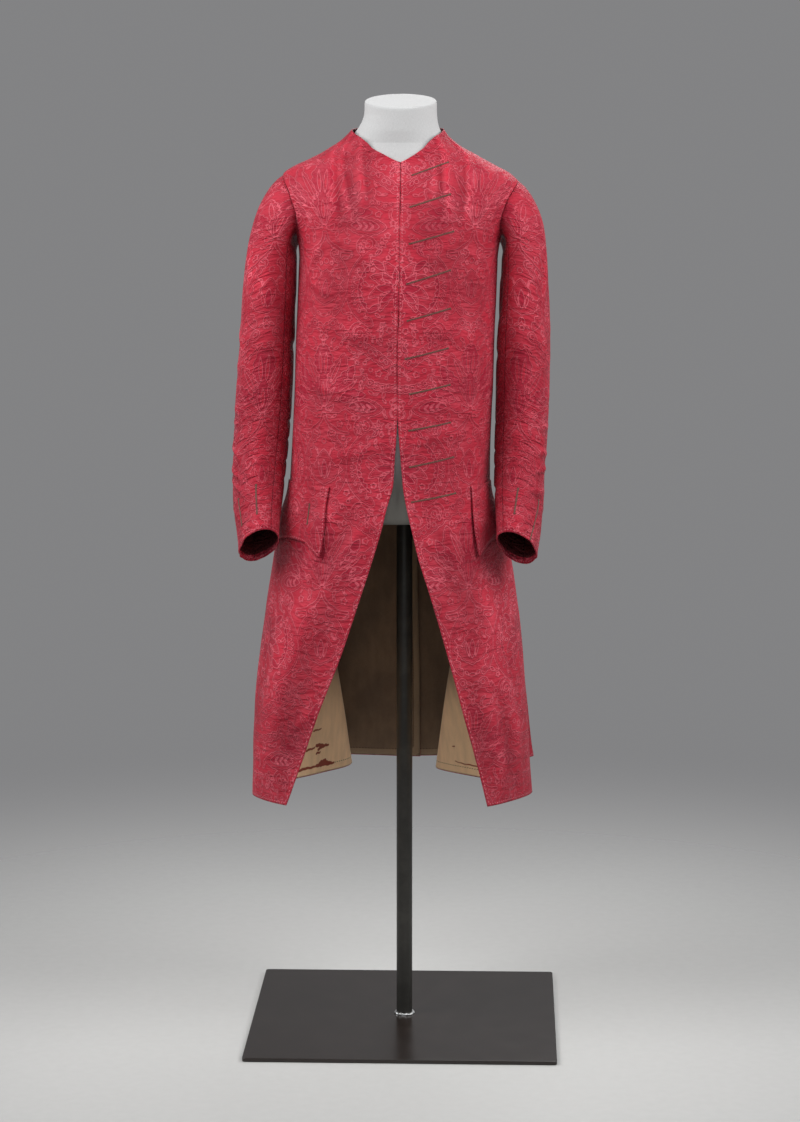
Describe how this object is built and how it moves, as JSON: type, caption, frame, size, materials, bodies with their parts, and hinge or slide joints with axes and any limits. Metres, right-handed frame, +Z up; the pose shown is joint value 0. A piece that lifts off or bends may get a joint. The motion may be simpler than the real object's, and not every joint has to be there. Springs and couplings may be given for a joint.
{
  "type": "coat on dress form",
  "caption": "Knee-length collarless damask coat with cut-away fronts, pleated skirts, pocket flaps and long sleeves, on a limbless torso form with post and square base plate.",
  "frame": {"origin": "centre of the base plate's underside", "axes": "+Z up along the post; +Y towards the wearer's back; wearer's right is at -X"},
  "size_m": [0.5075, 0.48, 1.4588],
  "materials": {
    "silk": "crimson silk damask, satin and twill weave",
    "lining": "brown plain-weave lining",
    "form": "white knitted cover over a padded form",
    "post": "dark blackened steel tube",
    "plate": "dark brown patinated steel plate"
  },
  "bodies": {
    "root": {"front_right": "silk", "front_left": "silk", "back_right": "silk", "back_left": "silk", "sleeve_upper_right": "silk", "sleeve_upper_left": "silk", "sleeve_under_right": "silk", "sleeve_under_left": "silk", "pocket_flap_right": "silk", "pocket_flap_left": "silk", "lining_front_right": "lining", "lining_front_left": "lining", "lining_back_right": "lining", "lining_back_left": "lining", "form_torso": "form", "stand_post": "post", "base_plate": "plate"}
  },
  "joints": []
}
